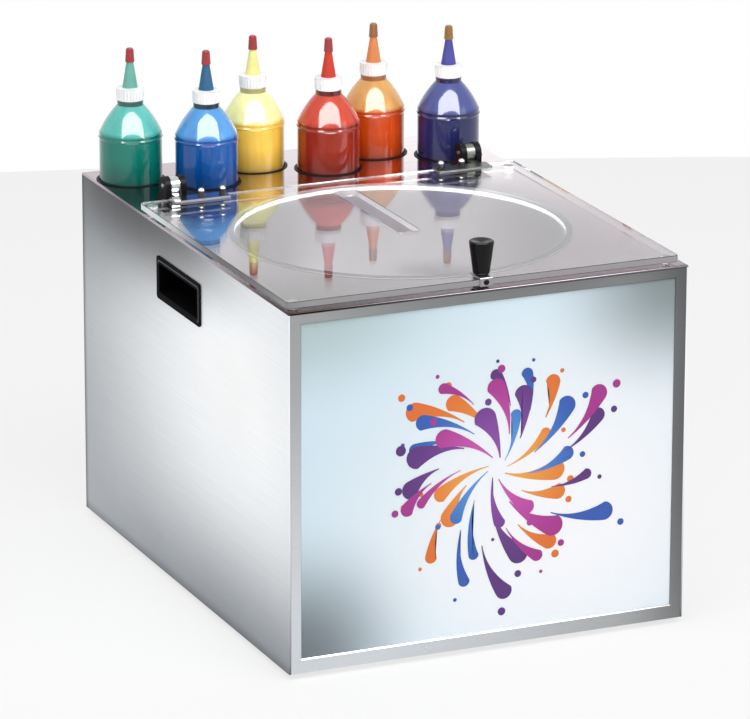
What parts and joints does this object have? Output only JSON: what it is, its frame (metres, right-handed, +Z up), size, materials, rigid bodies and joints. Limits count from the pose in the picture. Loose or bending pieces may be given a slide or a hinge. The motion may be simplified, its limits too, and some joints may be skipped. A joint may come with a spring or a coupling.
{
  "type": "spin art machine",
  "caption": "Stainless box with a motor-driven turntable in a splash bowl under a clear slotted lid, and squeeze bottles of paint standing in wells behind it.",
  "frame": {"origin": "on the floor under the middle of the cabinet", "axes": "+Z up, -Y the front panel and knob side, +Y the bottle side, +X the right side seen from the front"},
  "size_m": [0.3854, 0.5, 0.4605],
  "materials": {
    "stainless": "brushed stainless sheet",
    "deck_stainless": "polished stainless sheet",
    "bowl_stainless": "spun stainless",
    "printed_panel": "printed plastic sheet, pale blue",
    "foot_rubber": "black rubber",
    "black_plastic": "moulded black plastic",
    "black_gloss": "gloss black plastic",
    "plated_steel": "zinc-plated steel",
    "polished_steel": "polished steel",
    "cast_alloy": "die-cast alloy",
    "motor_paint": "black paint on steel",
    "bronze": "sintered bronze",
    "clear_acrylic": "clear acrylic sheet",
    "clear_bumper": "clear soft bumper",
    "spout_plastic": "natural polyethylene",
    "tip_red": "moulded red plastic",
    "paint_green": "liquid poster paint, green",
    "bottle_film_green": "translucent bottle tinted by its green paint",
    "paint_blue": "liquid poster paint, blue",
    "bottle_film_blue": "translucent bottle tinted by its blue paint",
    "paint_yellow": "liquid poster paint, yellow",
    "bottle_film_yellow": "translucent bottle tinted by its yellow paint",
    "paint_red": "liquid poster paint, red",
    "bottle_film_red": "translucent bottle tinted by its red paint",
    "paint_orange": "liquid poster paint, orange",
    "bottle_film_orange": "translucent bottle tinted by its orange paint",
    "paint_violet": "liquid poster paint, violet",
    "bottle_film_violet": "translucent bottle tinted by its violet paint"
  },
  "bodies": {
    "cabinet": {"left_side_panel": "stainless", "right_side_panel": "stainless", "back_panel": "stainless", "deck_plate": "deck_stainless", "front_frame": "stainless", "graphic_panel": "printed_panel", "front_wall": "stainless", "base_pan": "stainless", "rubber_feet": "foot_rubber", "left_handle_cup": "black_plastic", "right_handle_cup": "black_plastic", "splash_bowl": "bowl_stainless", "motor_crossbar": "plated_steel", "gear_housing": "cast_alloy", "motor_can": "motor_paint", "shaft_bushing": "bronze", "cabinet_screws": "plated_steel", "left_hinge_base": "black_plastic", "right_hinge_base": "black_plastic", "bottle_wells": "black_plastic", "switch_housing": "black_plastic", "power_inlet": "black_plastic"},
    "lid": {"lid_sheet": "clear_acrylic", "lid_bumpers": "clear_bumper", "knob_clamp": "polished_steel", "lid_knob": "black_gloss", "left_hinge_leaf": "polished_steel", "right_hinge_leaf": "polished_steel", "hinge_hardware": "polished_steel"},
    "turntable": {"turntable_disc": "bowl_stainless", "turntable_hub": "black_plastic", "hub_screw": "plated_steel", "motor_shaft": "plated_steel", "card_clips": "black_plastic"},
    "rocker": {"switch_rocker": "black_gloss"},
    "bottle_green": {"bottle_green": "bottle_film_green", "paint_green": "paint_green", "spout_green": "spout_plastic"},
    "tip_cap_green": {"tip_cap_green": "tip_red"},
    "bottle_blue": {"bottle_blue": "bottle_film_blue", "paint_blue": "paint_blue", "spout_blue": "spout_plastic"},
    "tip_cap_blue": {"tip_cap_blue": "tip_red"},
    "bottle_yellow": {"bottle_yellow": "bottle_film_yellow", "paint_yellow": "paint_yellow", "spout_yellow": "spout_plastic"},
    "tip_cap_yellow": {"tip_cap_yellow": "tip_red"},
    "bottle_red": {"bottle_red": "bottle_film_red", "paint_red": "paint_red", "spout_red": "spout_plastic"},
    "tip_cap_red": {"tip_cap_red": "tip_red"},
    "bottle_orange": {"bottle_orange": "bottle_film_orange", "paint_orange": "paint_orange", "spout_orange": "spout_plastic"},
    "tip_cap_orange": {"tip_cap_orange": "tip_red"},
    "bottle_violet": {"bottle_violet": "bottle_film_violet", "paint_violet": "paint_violet", "spout_violet": "spout_plastic"},
    "tip_cap_violet": {"tip_cap_violet": "tip_red"}
  },
  "joints": [
    {"name": "lid_hinge", "type": "hinge", "parent": "cabinet", "child": "lid", "pos_m": [-0.004, 0.117, 0.352], "axis": [-1, 0, 0], "range_deg": [0, 100]},
    {"name": "turntable_spin", "type": "hinge", "parent": "cabinet", "child": "turntable", "pos_m": [-0.004, -0.062, 0.244], "axis": [0, 0, 1], "continuous": true},
    {"name": "power_switch", "type": "hinge", "parent": "cabinet", "child": "rocker", "pos_m": [-0.15, 0.24, 0.07], "axis": [1, 0, 0], "range_deg": [0, 20]},
    {"name": "lift_bottle_green", "type": "slide", "parent": "cabinet", "child": "bottle_green", "axis": [0, 0, 1], "range_m": [0, 0.085]},
    {"name": "pull_tip_cap_green", "type": "slide", "parent": "bottle_green", "child": "tip_cap_green", "axis": [0, 0, 1], "range_m": [0, 0.02]},
    {"name": "lift_bottle_blue", "type": "slide", "parent": "cabinet", "child": "bottle_blue", "axis": [0, 0, 1], "range_m": [0, 0.085]},
    {"name": "pull_tip_cap_blue", "type": "slide", "parent": "bottle_blue", "child": "tip_cap_blue", "axis": [0, 0, 1], "range_m": [0, 0.02]},
    {"name": "lift_bottle_yellow", "type": "slide", "parent": "cabinet", "child": "bottle_yellow", "axis": [0, 0, 1], "range_m": [0, 0.085]},
    {"name": "pull_tip_cap_yellow", "type": "slide", "parent": "bottle_yellow", "child": "tip_cap_yellow", "axis": [0, 0, 1], "range_m": [0, 0.02]},
    {"name": "lift_bottle_red", "type": "slide", "parent": "cabinet", "child": "bottle_red", "axis": [0, 0, 1], "range_m": [0, 0.085]},
    {"name": "pull_tip_cap_red", "type": "slide", "parent": "bottle_red", "child": "tip_cap_red", "axis": [0, 0, 1], "range_m": [0, 0.02]},
    {"name": "lift_bottle_orange", "type": "slide", "parent": "cabinet", "child": "bottle_orange", "axis": [0, 0, 1], "range_m": [0, 0.085]},
    {"name": "pull_tip_cap_orange", "type": "slide", "parent": "bottle_orange", "child": "tip_cap_orange", "axis": [0, 0, 1], "range_m": [0, 0.02]},
    {"name": "lift_bottle_violet", "type": "slide", "parent": "cabinet", "child": "bottle_violet", "axis": [0, 0, 1], "range_m": [0, 0.085]},
    {"name": "pull_tip_cap_violet", "type": "slide", "parent": "bottle_violet", "child": "tip_cap_violet", "axis": [0, 0, 1], "range_m": [0, 0.02]}
  ]
}
